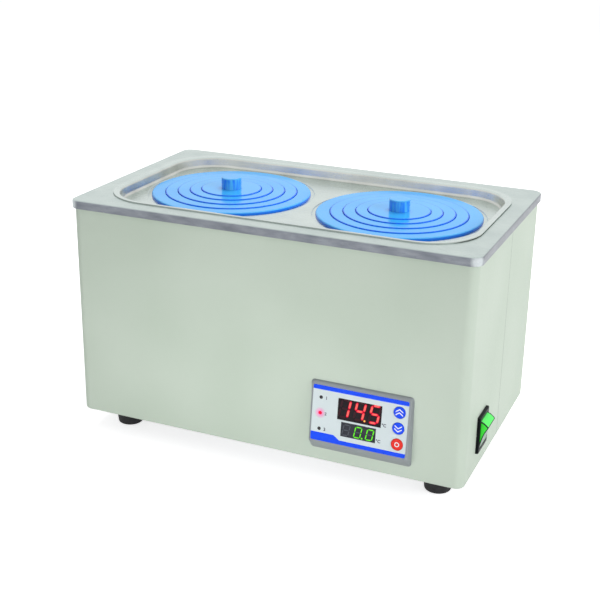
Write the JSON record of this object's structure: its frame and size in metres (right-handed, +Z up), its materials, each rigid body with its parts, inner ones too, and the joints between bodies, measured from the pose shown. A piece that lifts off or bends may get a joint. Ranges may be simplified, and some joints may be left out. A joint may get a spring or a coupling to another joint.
{
  "type": "water bath",
  "caption": "Bench water bath: a stainless tank in a painted casing under a drop-in cover with nested ring lids, with a digital temperature controller and a side rocker switch.",
  "frame": {"origin": "on the bench, under the middle of the whole length with the rocker switch included, and under the middle of the casing's depth", "axes": "+Z up, -Y out of the front with the controller, +X to the right-hand side with the rocker switch"},
  "size_m": [0.3564, 0.2203, 0.2171],
  "materials": {
    "painted_steel": "fine textured powder coat, light grey-green",
    "stainless": "satin brushed",
    "stainless_bright": "bright rolled",
    "zinc_steel": "zinc plated",
    "blue_lid_steel": "glossy sky blue film on steel",
    "blue_knob": "glossy moulded",
    "black_rubber": "moulded",
    "silicone": "moulded sheet",
    "glass_wool": "felted",
    "grey_abs": "fine moulded grain",
    "membrane": "printed film",
    "display_glass": "dark polished",
    "key_blue": "domed film",
    "key_red": "domed film",
    "lamp_lens": "clear tinted",
    "circuit_board": "solder resist",
    "black_nylon": "moulded",
    "rocker_green": "translucent moulded",
    "brass_contact": "rolled",
    "terminal_plastic": "moulded",
    "lead_insulation": "extruded"
  },
  "bodies": {
    "cabinet": {"front_shell": "painted_steel", "rear_shell": "painted_steel", "base_plate": "zinc_steel", "base_screws": "zinc_steel", "foot_front_left": "black_rubber", "foot_front_right": "black_rubber", "foot_rear_left": "black_rubber", "foot_rear_right": "black_rubber", "foot_screws": "zinc_steel", "foot_nuts": "zinc_steel", "water_tank": "stainless", "insulation_jacket": "glass_wool", "heater_element": "stainless_bright", "temperature_probe": "stainless_bright", "floor_gaskets": "silicone", "floor_nuts": "zinc_steel", "controller_housing": "grey_abs", "controller_overlay": "membrane", "pv_display": "display_glass", "sv_display": "display_glass", "indicator_lamps": "lamp_lens", "controller_board": "circuit_board", "key_switches": "black_nylon", "controller_rear_cover": "grey_abs", "controller_terminals": "terminal_plastic", "controller_clamps": "black_nylon", "switch_body": "black_nylon", "switch_pin": "zinc_steel", "switch_terminals": "brass_contact", "cord_gland": "black_nylon", "gland_nut": "black_nylon", "terminal_block": "terminal_plastic", "earth_stud": "brass_contact", "earth_nuts": "brass_contact", "heater_leads": "lead_insulation", "sensor_lead": "lead_insulation", "controller_leads": "lead_insulation", "switch_leads": "lead_insulation"},
    "cover_tray": {"cover_tray": "stainless"},
    "perforated_shelf": {"perforated_shelf": "stainless", "shelf_leg_front": "stainless", "shelf_leg_rear": "stainless"},
    "switch_rocker": {"switch_rocker": "rocker_green"},
    "key_up": {"key_up": "key_blue"},
    "key_down": {"key_down": "key_blue"},
    "key_set": {"key_set": "key_red"},
    "left_ring_1": {"left_ring_1": "blue_lid_steel"},
    "left_ring_2": {"left_ring_2": "blue_lid_steel"},
    "left_ring_3": {"left_ring_3": "blue_lid_steel"},
    "left_ring_4": {"left_ring_4": "blue_lid_steel"},
    "left_lid": {"left_lid_disc": "blue_lid_steel", "left_lid_knob": "blue_knob", "left_knob_screw": "zinc_steel"},
    "right_ring_1": {"right_ring_1": "blue_lid_steel"},
    "right_ring_2": {"right_ring_2": "blue_lid_steel"},
    "right_ring_3": {"right_ring_3": "blue_lid_steel"},
    "right_ring_4": {"right_ring_4": "blue_lid_steel"},
    "right_lid": {"right_lid_disc": "blue_lid_steel", "right_lid_knob": "blue_knob", "right_knob_screw": "zinc_steel"}
  },
  "joints": [
    {"name": "cover_tray_lift", "type": "slide", "parent": "cabinet", "child": "cover_tray", "axis": [0, 0, 1], "range_m": [0, 0.06]},
    {"name": "shelf_lift", "type": "slide", "parent": "cabinet", "child": "perforated_shelf", "axis": [0, 0, 1], "range_m": [0, 0.05]},
    {"name": "left_ring_1_lift", "type": "slide", "parent": "cover_tray", "child": "left_ring_1", "axis": [0, 0, 1], "range_m": [0, 0.03]},
    {"name": "left_ring_2_lift", "type": "slide", "parent": "left_ring_1", "child": "left_ring_2", "axis": [0, 0, 1], "range_m": [0, 0.03]},
    {"name": "left_ring_3_lift", "type": "slide", "parent": "left_ring_2", "child": "left_ring_3", "axis": [0, 0, 1], "range_m": [0, 0.03]},
    {"name": "left_ring_4_lift", "type": "slide", "parent": "left_ring_3", "child": "left_ring_4", "axis": [0, 0, 1], "range_m": [0, 0.03]},
    {"name": "left_lid_lift", "type": "slide", "parent": "left_ring_4", "child": "left_lid", "axis": [0, 0, 1], "range_m": [0, 0.04]},
    {"name": "right_ring_1_lift", "type": "slide", "parent": "cover_tray", "child": "right_ring_1", "axis": [0, 0, 1], "range_m": [0, 0.03]},
    {"name": "right_ring_2_lift", "type": "slide", "parent": "right_ring_1", "child": "right_ring_2", "axis": [0, 0, 1], "range_m": [0, 0.03]},
    {"name": "right_ring_3_lift", "type": "slide", "parent": "right_ring_2", "child": "right_ring_3", "axis": [0, 0, 1], "range_m": [0, 0.03]},
    {"name": "right_ring_4_lift", "type": "slide", "parent": "right_ring_3", "child": "right_ring_4", "axis": [0, 0, 1], "range_m": [0, 0.03]},
    {"name": "right_lid_lift", "type": "slide", "parent": "right_ring_4", "child": "right_lid", "axis": [0, 0, 1], "range_m": [0, 0.04]},
    {"name": "rocker_tilt", "type": "hinge", "parent": "cabinet", "child": "switch_rocker", "pos_m": [0.1685, -0.054, 0.053], "axis": [0, 1, 0], "range_deg": [-36, 0]},
    {"name": "key_up_press", "type": "slide", "parent": "cabinet", "child": "key_up", "axis": [0, 0.993, -0.1184], "range_m": [0, 0.0004], "stiffness_N_per_m": 150},
    {"name": "key_down_press", "type": "slide", "parent": "cabinet", "child": "key_down", "axis": [0, 0.993, -0.1184], "range_m": [0, 0.0004], "stiffness_N_per_m": 150},
    {"name": "key_set_press", "type": "slide", "parent": "cabinet", "child": "key_set", "axis": [0, 0.993, -0.1184], "range_m": [0, 0.0004], "stiffness_N_per_m": 150}
  ]
}
